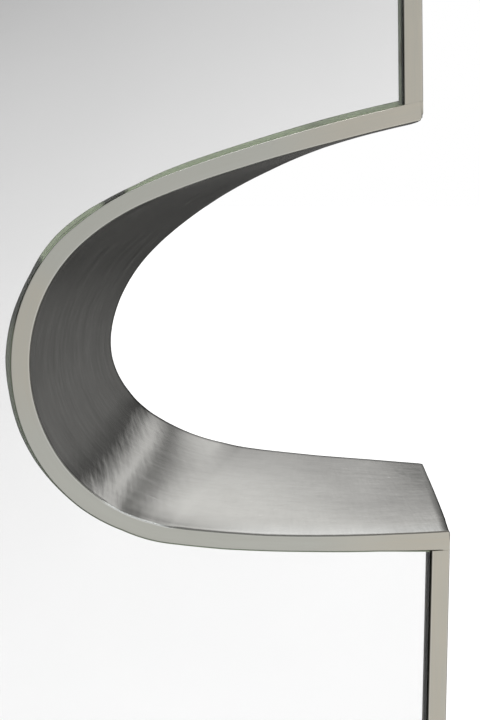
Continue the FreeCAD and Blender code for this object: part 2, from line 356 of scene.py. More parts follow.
def brushed_steel(name, colour, dark, roughness, grain, bump, spread, edge=0.35):
    """Brushed sheet or bar. The grain lies along the U of the piece's own map, in streaks
    as long and as wide as grain says, in metres. Spread is the anisotropy: highlights
    are drawn out across the grain. Attributes of the mesh place what isn't even:
    wear_and_sheen rubs edges bright and smooth and also paints sheen and highlights on,
    painted_shade paints shade into creases and patches, heat is a weld's stain, and cool
    is thin plating. Lean is how far the belt's slanting strokes tip the surface to and fro
    along the grain, so that a highlight ends in a ragged edge, and tilt is a steady tip
    along the grain."""
    material, tree = start_material(name)
    worn_and_sheen, painted_shade_fac, heat, thin, lean, tilt = (
        add_node(tree, "Attribute", {"attribute_name": key}).outputs["Fac"]
        for key in ("wear_and_sheen", "painted_shade", "heat", "cool", "lean", "tilt"))
    place = add_node(tree, "UVMap", {"uv_map": "grain"})
    # Tone: fine streaks, others some four times as long and as broad, and soft clouds
    streaks = add_node(tree, "Mapping", {"Vector": place, "Scale": (1 / grain[0], 1 / grain[1], 1)})
    fine = add_node(tree, "TexNoise", {"Vector": streaks, "Scale": 1, "Detail": 5,
                                       "Roughness": 0.65})
    drawn = add_node(tree, "Mapping", {"Vector": place, "Location": (3.1, 1.7, 0),
                                       "Scale": (0.22 / grain[0], 0.3 / grain[1], 1)})
    broad = add_node(tree, "TexNoise", {"Vector": drawn, "Scale": 1, "Detail": 3})
    where = add_node(tree, "TexCoord", {}).outputs["Object"]
    cloud = add_node(tree, "TexNoise", {"Vector": where, "Scale": 22, "Detail": 3,
                                        "Roughness": 0.6})
    mixed = add_node(tree, "Mix", {"data_type": "FLOAT", 0: 0.45, 2: fine, 3: broad})
    tone = add_node(tree, "Mix", {"data_type": "FLOAT", 0: 0.35, 2: mixed, 3: cloud})
    level = add_node(tree, "MapRange", {"Value": tone, "From Min": 0.36, "From Max": 0.64})
    # Pits, about 1 mm across and 60 mm apart
    cells = add_node(tree, "TexVoronoi", {"Vector": place, "Scale": 1 / (60 * mm)})
    pits = add_node(tree, "MapRange", {"Value": cells.outputs["Distance"], "From Min": 0.003,
                                       "From Max": 0.008, "To Min": 0.6, "To Max": 0.0})
    # Colour: the bare metal, thin plating, rubbed edges with painted sheen, painted shade, pits and
    # heat stains
    rubbed_and_sheen = add_node(tree, "Math", {"operation": "MULTIPLY", 0: worn_and_sheen, 1: edge})
    shown = linear(dark)
    for share, over in ((level, colour), (thin, 0xc1c2bb), (rubbed_and_sheen, 0xdfe2e2), (painted_shade_fac, 0x2c2b28),
                        (pits, 0x3a3833), (heat, 0xa8897a)):
        shown = add_node(tree, "Mix", {"data_type": "RGBA", 0: share, 6: shown, 7: linear(over)})
    # Gloss and relief follow the streaks
    gloss = add_node(tree, "MapRange", {"Value": mixed, "From Min": 0.3, "From Max": 0.7,
                                        "To Min": roughness - 0.06, "To Max": roughness + 0.06})
    smooth = add_node(tree, "Math", {"operation": "MULTIPLY_ADD", 0: worn_and_sheen, 1: -0.08, 2: gloss})
    relief = add_node(tree, "Bump", {"Height": mixed, "Strength": 1.0, "Distance": bump})
    across = add_node(tree, "Tangent", {"direction_type": "UV_MAP", "uv_map": "grain"})
    # Strokes of the belt, 14 mm long and 2.5 mm wide, at 54 degrees to the grain
    slanting = add_node(tree, "Mapping", {"Vector": place, "Rotation": (0, 0, math.radians(54))})
    combed = add_node(tree, "Mapping", {"Vector": slanting, "Location": (5.3, 2.9, 0),
                                        "Scale": (1 / (14 * mm), 1 / (2.5 * mm), 1)})
    comb = add_node(tree, "TexNoise", {"Vector": combed, "Scale": 1, "Detail": 3, "Roughness": 0.6})
    around = add_node(tree, "Math", {"operation": "SUBTRACT", 0: comb, 1: 0.5})
    tip = add_node(tree, "Math", {"operation": "MULTIPLY_ADD", 0: around, 1: lean, 2: tilt})
    tipped = add_node(tree, "VectorMath", {"operation": "MULTIPLY_ADD", 0: across, 1: tip,
                                           2: relief})
    facing = add_node(tree, "VectorMath", {"operation": "NORMALIZE", 0: tipped})
    metal = add_node(tree, "BsdfPrincipled", {
        "Base Color": shown, "Metallic": 1.0, "Roughness": smooth, "Anisotropic": spread,
        "Anisotropic Rotation": 0.25, "Normal": facing, "Tangent": across})
    add_node(tree, "OutputMaterial", {"Surface": metal})
    return material


# Stainless steel sheet, brushed along the band with a coarse belt: streaks show in the
# highlights, and the grain draws them out across the band. Real streaks are about 0.1 mm
# wide, and they are drawn nine times as wide, so that they show.
band_steel = brushed_steel("brushed_stainless_band", 0xd5d4d0, 0xbcbbb7, 0.22,
                           (12 * mm, 0.9 * mm), 0.004 * mm, 0.95)

# The grid: stations along the notch, and depths from the front edge along the seen face
# to the wall and back along the hidden face. Both are closer together by the edges. The
# front edge stands in the strip's rebate, which the hidden face's last step fits into.
band_front = -89.1 * mm
hidden_front = -86.9 * mm
end_stations = np.array((0, 0.12, 0.3, 0.6, 1, 1.5, 2.1, 2.9, 3.9)) * mm
station_place, station_run, notch_length = notch_places(430, end_stations)
front_steps = np.array((0, 0.1, 0.25, 0.45, 0.7, 1, 1.4, 1.9, 2.5, 3.3, 4.4)) * mm
wall_steps = np.array((-4.8, -3.7, -2.8, -2, -1.4, -0.9, -0.5, -0.2, 0)) * mm
seen_y = np.concatenate([band_front + front_steps,
                         np.linspace(band_front + 6 * mm, -6 * mm, 50), wall_steps])
hidden_y = np.append(np.array((0, -3, -30, -60)) * mm, hidden_front)
band_y = np.concatenate([seen_y, hidden_y, [hidden_front, band_front]])
seen = len(seen_y)
front_gap = seen_y - band_front
wall_gap = -seen_y
end_gap = np.minimum(station_run, notch_length - station_run)
across_band = seen_y / band_front
# 0 as far as the bend, and 1 along the notch's floor
floor_part = np.clip((station_place - 4.3) / 0.4, 0, 1)


def wavy(run, length, seed):
    """A smooth random wave along a run, from -1 to 1, with bends about length apart."""
    knots = np.random.default_rng(seed).uniform(-1, 1, int(run.max() / length) + 4)
    spot = run / length
    left = np.floor(spot).astype(int)
    part = spot - left
    part = part * part * (3 - 2 * part)
    return knots[left] * (1 - part) + knots[left + 1] * part


def along_notch(places, values):
    """Values at the stations, in straight lines between those given at the places."""
    return np.interp(station_place, places, values)


# How far the bent bar strays from its outline, in mm, at places along the notch
stray_place = (0, 0.3, 0.6, 0.85, 1.05, 1.2, 1.45, 1.8, 3.6, 3.8, 4.0, 4.3, 4.8, 5.07, 5.35,
               5.6, 5.8, 6)
stray_inner = (0, -0.3, 0, 0, -0.6, -0.6, -0.3, 0, 0, 0.2, 0.1, 0, 0.3, 1.2, 1.2, 0.5, 0, 0)
# The same for the band's edge at the wall
wall_place = (0, 0.2, 0.5, 0.9, 1.3, 1.6, 1.9, 2.1, 2.4, 2.8, 3.1, 3.4, 3.8, 4.1, 4.5, 4.8, 5.1,
              5.4, 5.7, 6)
stray_wall = (-0.1, -0.4, -0.3, -0.2, -0.8, -0.3, -0.4, -0.85, -0.7, -0.4, -0.6, -0.2, -0.5, 0.5,
              0, -0.5, 0.3, 0.3, -0.3, -0.5)
wall_stray = along_notch(wall_place, stray_wall) * mm
# The seen face: rolled over at the front and wall edges, dipped beside the strip along
# the floor, crowned a little in its middle, and dropped at both ends
dip = along_notch(stray_place, stray_inner) * mm + 0.5 * mm * floor_part
dip_reach = along_notch((4.45, 5.1), (6, 24)) * mm
uneven = 1 + 0.35 * wavy(station_run, 9 * mm, 3) + 0.2 * wavy(station_run, 3 * mm, 4)
front_roll = 0.5 * mm * uneven * along_notch((4.1, 4.25, 5.3, 5.6), (1, 0.3, 0.3, 1))
crown = along_notch((0, 0.9, 1.4), (0.4, 0.8, 1.2)) * mm
end_radius = 1 * mm
steepest = 0.85
end_reach = np.clip(end_radius - end_gap, 0, steepest * end_radius)
end_drop = end_radius - np.sqrt(end_radius ** 2 - end_reach ** 2)
end_drop += 0.3 * mm * floor_part * fade(end_gap, 12 * mm) ** 2
seen_offset = (front_roll[:, None] * fade(front_gap, 1.6 * mm) ** 2
               + dip[:, None] * fade(front_gap, dip_reach[:, None]) ** 2
               + 0.3 * mm * fade(wall_gap, 4 * mm) ** 2
               + wall_stray[:, None] * fade(wall_gap, 30 * mm) ** 2
               - crown[:, None] * 4 * across_band * (1 - across_band)
               + end_drop[:, None])
# The hidden face stays one sheet away, and makes room for the dip at its front. The seen
# face never comes closer to it than the thinnest edge.
room = np.clip(dip, 0, None)[:, None]
thinnest = 0.12 * mm
hidden_offset = np.full((len(station_place), len(band_y) - seen), sheet)
hidden_offset[:, len(hidden_y) - 1:] += room
offset = np.concatenate([np.minimum(seen_offset, sheet + room - thinnest), hidden_offset], 1)
place_grid = fit_ends(station_place, band_y, np.where(np.arange(len(band_y)) < seen, 0, sheet))


def corner_pull(offset, pull, reach):
    """How far an end draws back to round the case's corner: most at the notch's outline,
    and along a parabola to nothing at the reach into the case."""
    return pull * fade(offset, reach) ** 2


def rounded_ends(place, offset):
    """The same for both ends of the notch, in places: a big rounding at the upper
    corner and a small one at the lower."""
    near_start, near_stop = near_ends(place[:, None])
    arc_lengths = front_outline[1] * front_outline[3]
    return (near_start * corner_pull(offset, 1.6 * mm, 3.4 * mm) / arc_lengths[0]
            - near_stop * corner_pull(offset, 0.5 * mm, 1.5 * mm) / arc_lengths[-1])


place_grid += rounded_ends(station_place, offset) * fade(band_y - band_front, 12 * mm)
x, z = on_notch(place_grid, band_y[None, :], offset)
# The dropped lower end stays inside the case
x = np.where(z < 0, np.minimum(x, lower_x(z, 0)), x)
points = np.stack([x, np.broadcast_to(band_y, x.shape), z], -1)


def on_seen_face(values):
    """Values of the seen face's grid, for each vertex, with 0 on the hidden face."""
    grid = np.zeros(x.shape)
    grid[:, :seen] = values
    return grid


# Rubbed bright round the upper end; along the front of the floor, painted sheen on smoother metal
wear_and_sheen = (0.3 * fade(end_gap, 3.2 * mm)[:, None] ** 2 * (1 - floor_part[:, None])
        + along_notch((5.1, 5.3), (0, 0.9))[:, None] * fade(front_gap, 10 * mm))
# Painted shade in a broken line along the strip
painted_shade_line = along_notch((0, 4, 4.15, 4.2, 5, 5.05, 6), (0.35, 0.45, 0.6, 0, 0, 0.6, 0.5))
painted_shade_line = np.clip(painted_shade_line + 0.3 * wavy(station_run, 5 * mm, 5), 0, 1)
painted_shade = painted_shade_line[:, None] * fade(front_gap, 1.1 * mm, 1.2)
# Painted shade elsewhere: places along the notch and strengths there, the gap that each
# fades with, its reach in mm, and how full it starts. In turn: at the front of the bend, a
# line beside the floor's lip, a line along the wall, by the wall in the bend and over the
# floor's back, and a patch in the floor's middle.
floor_middle_gap = np.abs(wall_gap - 58 * mm)
for places, strengths, gap, reach, full in (
        ((4.3, 4.6, 4.95, 5.2), (0, 0.35, 0.3, 0), front_gap, 5, 1),
        ((5, 5.05, 5.2, 5.5), (0, 0.7, 0.6, 0.4), front_gap, 0.9, 1.4),
        ((3.4, 3.9, 5.2, 5.6), (0.6, 0.9, 0.8, 0.8), wall_gap, 2.2, 1.4),
        ((3.8, 4.0, 4.25, 4.5), (0, 0.35, 0.35, 0), wall_gap, 18, 1),
        ((4.75, 4.95, 5.2, 5.45, 5.7), (0, 0.5, 0.38, 0.3, 0), wall_gap, 90, 0.85),
        ((5.3, 5.6, 5.8, 6), (0, 0.12, 0.24, 0.08), floor_middle_gap, 28, 1)):
    painted_shade = painted_shade + along_notch(places, strengths)[:, None] * fade(gap, reach * mm, full)
# Painted shade: the floor darkens towards its end
painted_shade = painted_shade + 0.9 * (floor_part * fade(end_gap, 11 * mm) ** 1.5)[:, None]
# The belt's strokes tip the surface most where the notch turns up from its floor
lean = along_notch((3.6, 3.85, 4.1, 4.2, 4.3, 4.45, 4.7),
                   (0.03, 0.13, 0.13, 0.09, 0.07, 0.03, 0.06))[:, None]
lean = lean * np.interp(seen_y, np.array((-86, -62)) * mm, (1.7, 1))
# The bend isn't quite the arcs: how far its turns lie along the band, in mm, at places
# (rows) and depths (columns). Divided by the bend's radius, that is an angle.
turn_place = (3.7, 4.05, 4.3, 4.45, 4.6, 4.9, 5.5, 5.78, 5.95)
turn_depth = np.array((-86, -80, -61, -42, -23, -8)) * mm
turns_shift = np.array((
    (0, 0, 0, 0, 0, 0), (-3, -0.5, 2, 3.2, 2.6, 0.7), (0, -1, -1, -1.2, -1.2, -2),
    (-1, 0, 0.5, 0, -2, -4), (0.5, 2, 2.5, 0.8, -2.5, -5), (0, 0, 0, 0, 0, 0),
    (0, 0, 0, 0, 0, -0.5), (0, 0, 0, 0, -1.3, -2.4), (0, 0, 0, 0, -0.5, -1.7))) * mm
bend_radius = 78 * mm
by_place = np.stack([along_notch(turn_place, column) for column in turns_shift.T], 1)
by_depth = np.stack([np.interp(seen_y, turn_depth, unit) for unit in np.eye(len(turn_depth))])
tilt = by_place @ by_depth / bend_radius
round_section = np.cumsum(np.abs(np.diff(band_y, prepend=band_y[0])))
band = make_piece("notch_band_brushed", points,
                  loft_faces(len(station_place), len(band_y)), [band_steel],
                  floats={"wear_and_sheen": on_seen_face(wear_and_sheen), "painted_shade": on_seen_face(np.clip(painted_shade, 0, 1)),
                          "lean": on_seen_face(lean), "tilt": on_seen_face(tilt)},
                  uv=grain_map(station_run, round_section))
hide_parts("notch_band")


# Case sides: brushed steel sheet from the face strips back to the wall, mitred at the
# corners and welded, and cut to the warped band where the notch comes in.
half_width = 305 * mm
half_height = 457 * mm


def case_corners(inset, upper, lower):
    """Corners (x, z) of the case, moved inwards by the inset, and at the two right sides
    by their own ones: bottom left, top left, top right and bottom right."""
    top, bottom, left = half_height - inset, inset - half_height, inset - half_width
    return (left, bottom), (left, top), (upper_x(top, upper), top), (lower_x(bottom, lower), bottom)


def side_ends(side, inset, y, notch_offset):
    """The two ends (x, z) of one side of the case, for each inset and depth. The right
    sides end where they meet the notch, moved into the case by its own offset."""
    bottom_left, top_left, top_right, bottom_right = case_corners(inset, inset, inset)
    if side == "right_upper":
        place = crossing(y, notch_offset, upper_x, inset)
        return top_right, on_notch(place, y, notch_offset)
    if side == "right_lower":
        place = crossing(y, notch_offset, lower_x, inset)
        return on_notch(place, y, notch_offset), bottom_right
    return {"top": (top_left, top_right), "left": (bottom_left, top_left),
            "bottom": (bottom_right, bottom_left)}[side]


def bar_profile(inset0, inset1, y0, y1, radius):
    """A closed loop round a bar's cross-section: a rectangle with rounded corners, and
    with one point close to each corner on each side, where the wear has ended."""
    near = min(3 * radius, (inset1 - inset0) / 3, (y1 - y0) / 3)
    loop = []
    for cx, cy, begin in ((inset0, y0, 180), (inset1, y0, 270), (inset1, y1, 0), (inset0, y1, 90)):
        sx = 1 if cx == inset0 else -1
        sy = 1 if cy == y0 else -1
        beside = ((0, sy * near), (sx * near, 0))
        before, after = beside if begin in (180, 0) else beside[::-1]
        loop.append((cx + before[0], cy + before[1], 0))
        for degrees in (0, 30, 60, 90):
            angle = math.radians(begin + degrees)
            loop.append((cx + sx * radius + radius * math.cos(angle),
                         cy + sy * radius + radius * math.sin(angle), 1))
        loop.append((cx + after[0], cy + after[1], 0))
    return np.array(loop).T


def make_side(name, side, profile, notch_offset, material, replaced):
    """One straight side: its profile carried from end to end on straight lines, with
    stations closer together by the ends."""
    inset, y, wear_and_sheen = profile
    (x0, z0), (x1, z1) = side_ends(side, inset, y, notch_offset)
    x0, z0, x1, z1 = (np.broadcast_to(value, inset.shape) for value in (x0, z0, x1, z1))
    length = math.hypot(x1[0] - x0[0], z1[0] - z0[0])
    close = np.array((0, 0.5, 2)) * mm
    run = np.concatenate([close, np.linspace(8 * mm, length - 8 * mm, 40), (length - close)[::-1]])
    part = (run / length)[:, None]
    x = x0 + (x1 - x0) * part
    z = z0 + (z1 - z0) * part
    points = np.stack([x, np.broadcast_to(y, x.shape), z], -1)
    # A trace of painted shade in the joint with the band
    painted_shade_fac = np.zeros(x.shape)
    if side.startswith("right"):
        painted_shade_fac[-1 if side == "right_upper" else 0] = 0.1
    piece = make_piece(name, points, loft_faces(len(run), len(inset)), [material],
                       floats={"wear_and_sheen": np.broadcast_to(wear_and_sheen, x.shape), "painted_shade": painted_shade_fac},
                       uv=grain_map(run, round_profile(inset, y)))
    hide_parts(replaced)


# Mild steel sheet with a nickel wash, brushed along its length: duller than the face
skirt_steel = brushed_steel("brushed_case_steel", 0xc6c3bb, 0xaeaba3, 0.34,
                            (20 * mm, 0.5 * mm), 0.01 * mm, 0.7)
skirt_profile = bar_profile(0, sheet, strip_back, 0, 0.25 * mm)
sides = ("top", "left", "bottom", "right_upper", "right_lower")
for side in sides:
    make_side("skirt_" + side + "_sheet", side, skirt_profile, sheet,
              skirt_steel, "skirt_" + side)


# Face strips: 9.4 mm flat bar, ground flush at the welds and polished, in a warm grey.
# The one round the notch is bent on edge; its inner edge is rebated for the band.
strip_width = 9.4 * mm
edge_radius = 0.5 * mm
face_y = -case_depth
# Polished nickel-plated bar: smooth and warm, with faint draw lines and small specks
strip_steel = brushed_steel("polished_nickel_bar", 0xcdc7ba, 0xc0beb4, 0.5,
                            (30 * mm, 0.9 * mm), 0.002 * mm, 0.1, edge=0.1)
strip_profile = bar_profile(0, strip_width, face_y, strip_back, edge_radius)
narrow_profile = bar_profile(0, strip_width - 0.4 * mm, face_y, strip_back, edge_radius)
for side in sides:
    profile = narrow_profile if side == "right_lower" else strip_profile
    make_side("strip_" + side + "_bar", side, profile, strip_width,
              strip_steel, "strip_" + side)

rebate = 1.65 * mm
# The bent bar's section, seen from its inner edge over its face and outer edge to its
# back and rebate: inset from the notch's outline and depth, both in mm, and wear
strip_loop = np.array((
    (0, -89.15, 0.2), (0, -89.3, 0.5), (0, -89.5, 1), (0.067, -89.75, 1), (0.25, -89.93, 1),
    (0.5, -90, 1), (0.9, -90, 0), (1.3, -90, 0), (2, -90, 0), (3.5, -90, 0), (6, -90, 0),
    (8.5, -90, 0), (8.9, -90, 0.6), (9.15, -89.93, 1), (9.33, -89.75, 1), (9.4, -89.5, 0.6),
    (9.4, -88.5, 0), (9.4, -87, 0), (1.65, -87, 0), (1.65, -89.15, 0))).T
strip_offset, strip_y, section_wear = strip_loop[0] * mm, strip_loop[1] * mm, strip_loop[2]
strip_grid = fit_ends(station_place, strip_y, strip_offset)
strip_grid += rounded_ends(station_place, strip_offset)
# How far the bar's outer edge strays from its own outline, in mm
outer_place = (0, 0.4, 0.8, 1.1, 1.3, 1.6, 2.0, 2.2, 3.3, 3.6, 3.8, 4.0, 4.2, 4.5, 4.8, 5.2, 5.5,
               5.75, 6)
stray_outer = (0, -0.3, -0.6, -1.3, -1.3, -0.9, -0.6, -0.1, 0, 0.4, 0.4, 0, -0.4, -0.9, -0.4, 0,
               -0.8, -1.0, 0)
outer_share = np.clip((strip_offset - rebate) / (strip_width - rebate), 0, 1)
strays = (along_notch(stray_place, stray_inner)[:, None] * (1 - outer_share)
          + along_notch(outer_place, stray_outer)[:, None] * outer_share) * mm
x, z = on_notch(strip_grid, strip_y[None, :], strip_offset[None, :] + strays)
# The outer edge is square under the side strips, whose welds are ground flush, and the
# rounding of the side strips carries on round both ends
weld_gap = end_gap[:, None]
edge_part = np.clip((weld_gap - 9.3 * mm) / (1.2 * mm), 0, 1)
outer_edge = strip_offset > 8.6 * mm
flush = np.where(outer_edge & (strip_y < -89 * mm), face_y, strip_y)
strip_front = flush + (strip_y - flush) * edge_part
reach_in = np.clip(edge_radius - weld_gap, 0, None)
end_y = face_y + edge_radius - np.sqrt(edge_radius ** 2 - reach_in ** 2)
strip_front = np.maximum(strip_front, end_y)
# A painted highlight along the inner edge where the notch turns up, on metal that the
# wheel left smoother, and painted shade in the joint with the band along the floor
painted_highlight_line = along_notch((4.12, 4.25, 4.98, 5.03), (0, 5, 5, 0))[:, None]
strip_wear_and_highlight = (section_wear * np.where(outer_edge, edge_part, 1)
              + painted_highlight_line * (section_wear > 0) * (strip_offset < 1 * mm))
joint = (strip_offset < 0.3 * mm) & (strip_y < -89.2 * mm)
painted_lip_shade = 0.75 * joint[None, :] * np.clip((station_place - 4.85) / 0.15, 0, 1)[:, None]
points = np.stack([x, strip_front, z], -1)
# The plating is thinner and cooler in colour where the bar was bent the most
cool = along_notch((0.3, 0.6, 2.4, 2.7, 3.3, 3.6, 5.5, 5.8), (0, 1, 1, 0.3, 0.3, 1, 1, 0))
cool = np.broadcast_to(0.85 * cool[:, None], x.shape)
# Heat stains by the two welds: x, z and reach in mm, and strength
heat = np.zeros(x.shape)
for stain_x, stain_z, reach, strength in ((279, 105, 4, 0.5), (302.4, -103.6, 1.5, 0.7),
                                          (278.5, -111.5, 2, 0.8)):
    away = np.hypot(x - stain_x * mm, z - stain_z * mm) / (reach * mm)
    heat += strength * np.exp(-away ** 2)
piece = make_piece("strip_notch_bar", points,
                   loft_faces(len(station_place), len(strip_y)), [strip_steel],
                   floats={"wear_and_sheen": strip_wear_and_highlight, "heat": heat, "cool": cool, "painted_shade": painted_lip_shade},
                   uv=grain_map(station_run, round_profile(strip_offset, strip_y)))
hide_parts("strip_notch")


# Mirror glass: 6 mm float glass with ground edges, which stands on two rubber blocks
# behind the strips. The silvering was stripped by hand from a border all round, which
# wavers, and the bare border shows the green of the glass and the seal behind it.
silver_inset = 12.6 * mm
# The silver's edge on the notch, in mm from the notch's outline, at places along it
silver_place = (0.2, 0.35, 0.65, 0.9, 1.05, 1.3, 1.45, 1.65, 1.8, 1.95, 2.2, 2.4, 2.6, 2.8, 3.05,
                3.2, 3.35, 3.55, 3.7, 3.85, 4.1, 4.3, 4.5, 4.8, 5, 5.3, 5.5, 5.9, 6)
silver_edge = (12.5, 12.5, 11.9, 11.6, 10.9, 10.3, 10.6, 11.2, 12, 12.5, 13.1, 13, 12.4, 12.7, 13.5,
               13.8, 13.3, 13.4, 13, 12.3, 11.4, 10.7, 10.1, 10, 9.9, 9.4, 9, 9, 9.6)
# How dark the border is round the notch, from sage green to a dark bottle green
shade_place = (0, 0.3, 0.4, 0.5, 1.38, 1.44, 1.64, 1.7, 2.4, 2.46, 3, 3.08, 3.6, 4, 4.8, 5.2, 6)
shade_there = (0.2, 0.1, 0.3, 0, 0, 0.97, 0.92, 0.05, 0.05, 0.93, 0.95, 0.68, 0.72, 0.7, 0.5,
               0.3, 0.3)
# Lines that stray from the case's outline: places along the notch, how far the line
# strays there in mm, and how far in metres along the upper and lower right sides
silver_line = (silver_place, np.array(silver_edge) - silver_inset / mm, -0.8 * mm, -1.25 * mm)
bar_line = (outer_place, stray_outer, 0, 0)
loop_places = notch_places(360, np.array([0.0]))[0]


def outline_loop(inset, line=((0,), (0,), 0, 0)):
    """A closed loop (x, z) round the case and its notch, both moved inwards by the
    inset and by how far the line strays: two corners, the notch, two corners."""
    upper, lower = np.array([inset + line[2]]), np.array([inset + line[3]])
    moved = inset + np.interp(loop_places, line[0], line[1]) * mm
    y = np.array([face_y])
    start, stop = near_ends(loop_places)
    first = crossing(y, moved[:1], upper_x, upper)
    last = crossing(y, moved[-1:], lower_x, lower)
    x, z = on_notch(loop_places + first * start + (last - arc_count) * stop, y, moved)
    bottom_left, top_left, top_right, bottom_right = case_corners(inset, upper[0], lower[0])
    return np.concatenate([(top_left, top_right), np.stack([x, z], -1),
                           (bottom_right, bottom_left)])


# The border's shade at the points of a loop: along the right sides it is painted shade.
# The notch's two ends have that of the side that they meet, and the glass's own rim is
# painted dark with shade along the upper side as well.
upper_shade, lower_shade = 0.5, 1.0
border_shade = np.interp(loop_places, shade_place, shade_there)
border_shade[0], border_shade[-1] = upper_shade, lower_shade
border_shade = np.pad(border_shade, 2, "edge")
rim_shade = border_shade.copy()
rim_shade[:3] = 1.0


def pane(name, rings, materials, replaced, line, rim_material=None):
    """A flat pane: outline loops at several insets and depths, joined by quads, with
    its front and back closed by one face each. The number of the rim's material is
    given if it has its own."""
    loops = [np.insert(outline_loop(inset, line), 1, y, axis=1) for inset, y in rings]
    faces = loft_faces(len(rings), len(loops[0]))
    piece = make_piece(name, np.concatenate(loops), faces, materials, smooth_deg=30,
                       floats={"shade": np.tile(rim_shade, len(rings))})
    if rim_material is not None:
        index = np.full(len(faces), rim_material)
        index[-2:] = 0
        piece.data.polygons.foreach_set("material_index", index)
    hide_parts(replaced)


def mottled(tree, scale, detail, one, other, place=None):
    """A noise with so many marks for each metre, over Object coordinates if no place is
    given, and the colour that it mixes from two."""
    if place is None:
        place = add_node(tree, "TexCoord", {}).outputs["Object"]
    noise = add_node(tree, "TexNoise", {"Vector": place, "Scale": scale, "Detail": detail})
    return noise, add_node(tree, "Mix", {"data_type": "RGBA", 0: noise, 6: linear(one),
                                         7: linear(other)})


# Float glass, clear and polished: no colour of its own straight through
clear_glass, tree = start_material("clear_float_glass")
_, tint = mottled(tree, 14, 4, 0xffffff, 0xfdfdfd)
surface = add_node(tree, "BsdfPrincipled", {"Base Color": tint, "Roughness": 0.0, "IOR": 1.52,
                                            "Transmission Weight": 1.0})
add_node(tree, "OutputMaterial", {"Surface": surface})

# The same glass at its ground edge: frosted by the wheel, and deep green end on. The
# wheel's marks are some ten times as coarse as real ones, so that they show.
ground_glass, tree = start_material("ground_glass_edge")
grit, pale = mottled(tree, 900, 3, 0xc6d8b8, 0xd8e6ca)
in_shade = add_node(tree, "Attribute", {"attribute_name": "shade"}).outputs["Fac"]
# The shade attribute darkens the edge towards near black; along the right sides that is painted
# shade in the gap beside the strip
tone = add_node(tree, "Mix", {"data_type": "RGBA", 0: in_shade, 6: pale, 7: linear(0x1e231c)})
relief = add_node(tree, "Bump", {"Height": grit, "Strength": 0.6, "Distance": 0.05 * mm})
surface = add_node(tree, "BsdfPrincipled", {"Base Color": tone, "Roughness": 0.45, "IOR": 1.52,
                                            "Normal": relief})
add_node(tree, "OutputMaterial", {"Surface": surface})

glass_thickness = 6 * mm
glass_front = face_y + 0.5 * mm
glass_back = glass_front + glass_thickness - 0.03 * mm
glass_inset = 9.6 * mm
arris = 0.3 * mm
pane("mirror_glass_pane",
     ((glass_inset + arris, glass_front), (glass_inset, glass_front + arris),
      (glass_inset, glass_back - arris), (glass_inset + arris, glass_back)),
     [clear_glass, ground_glass], "mirror_glass", bar_line, rim_material=1)

# Silver behind glass: a bright, even mirror with a faint mottle
silver, tree = start_material("silvered_back")
_, tone = mottled(tree, 9, 3, 0xfcfcfc, 0xfefefe)
surface = add_node(tree, "BsdfPrincipled", {"Base Color": tone, "Metallic": 1.0, "Roughness": 0.0})
add_node(tree, "OutputMaterial", {"Surface": surface})
silver_front = -83.5 * mm
silver_back = -83.3 * mm
pane("mirror_silvering_coat",
     ((silver_inset, silver_front), (silver_inset, silver_back)), [silver], "mirror_silvering",
     silver_line)

# Seal behind the bare border, brushed on by hand: pale green through the glass round
# the notch, dark by the sides with painted shade, and with brown stains where mastic and
# rust show through
seal_inset = 8 * mm
seal_outer = outline_loop(seal_inset, bar_line)
seal_inner = outline_loop(silver_inset, silver_line)
seal_share = np.array((0, 0.5, 0.66, 0.9, 1, 1, 0))
seal_y = np.repeat((-83.49, -83.35), (5, 2)) * mm
loops = seal_outer[:, None] + (seal_inner - seal_outer)[:, None] * seal_share[None, :, None]
loops = np.insert(loops, 1, seal_y, axis=2)
seal_run = np.cumsum(np.hypot(*np.diff(seal_outer, axis=0, prepend=seal_outer[:1]).T))
seal_width = 3 * mm
# Brown by the strip where mastic was pressed out, painted shade there along the upper
# side, and dark in a thin line by the silver
by_strip = seal_share < 0.6
rust_place = (1.2, 1.45, 2.4, 2.5, 3, 3.1, 4, 4.5)
rust_there = (0, 0.7, 0.7, 0, 0, 0.8, 0.8, 0)
rust = np.interp(loop_places, rust_place, rust_there)
rust = np.pad(rust, 2, "edge")[:, None] * by_strip
shade = border_shade[:, None] + 0.5 * (seal_share > 0.95)
shade[:3, by_strip] = 1
shade = np.clip(shade, 0, 1)
border_seal, tree = start_material("sealed_glass_border")
place = add_node(tree, "UVMap", {"uv_map": "grain"})
spread_map = add_node(tree, "Mapping", {"Vector": place, "Scale": (45, 200, 1)})
patch = add_node(tree, "TexNoise", {"Vector": spread_map, "Scale": 1, "Detail": 4})
patches = add_node(tree, "MapRange", {"Value": patch, "From Min": 0.56, "From Max": 0.62})
grit, pale = mottled(tree, 1400, 2, 0xcfdebc, 0xddeacb, place)
in_shade, rusty = (add_node(tree, "Attribute", {"attribute_name": key}).outputs["Fac"]
                   for key in ("shade", "rust"))
green = add_node(tree, "Mix", {"data_type": "RGBA", 0: in_shade, 6: pale, 7: linear(0x1e231c)})
in_dark = add_node(tree, "Math", {"operation": "MULTIPLY", 0: patches, 1: in_shade})
brown = add_node(tree, "Math", {"operation": "MAXIMUM", 0: in_dark, 1: rusty})
stained = add_node(tree, "Mix", {"data_type": "RGBA", 0: brown, 6: green, 7: linear(0x4d4431)})
relief = add_node(tree, "Bump", {"Height": grit, "Strength": 0.5, "Distance": 0.05 * mm})
surface = add_node(tree, "BsdfPrincipled", {"Base Color": stained, "Roughness": 0.6,
                                            "Normal": relief})
add_node(tree, "OutputMaterial", {"Surface": surface})
make_piece("glass_border_seal", loops,
           loft_faces(len(loops), len(seal_share), close_rows=True), [border_seal],
           floats={"shade": shade, "rust": rust},
           uv=grain_map(seal_run, seal_width * seal_share))


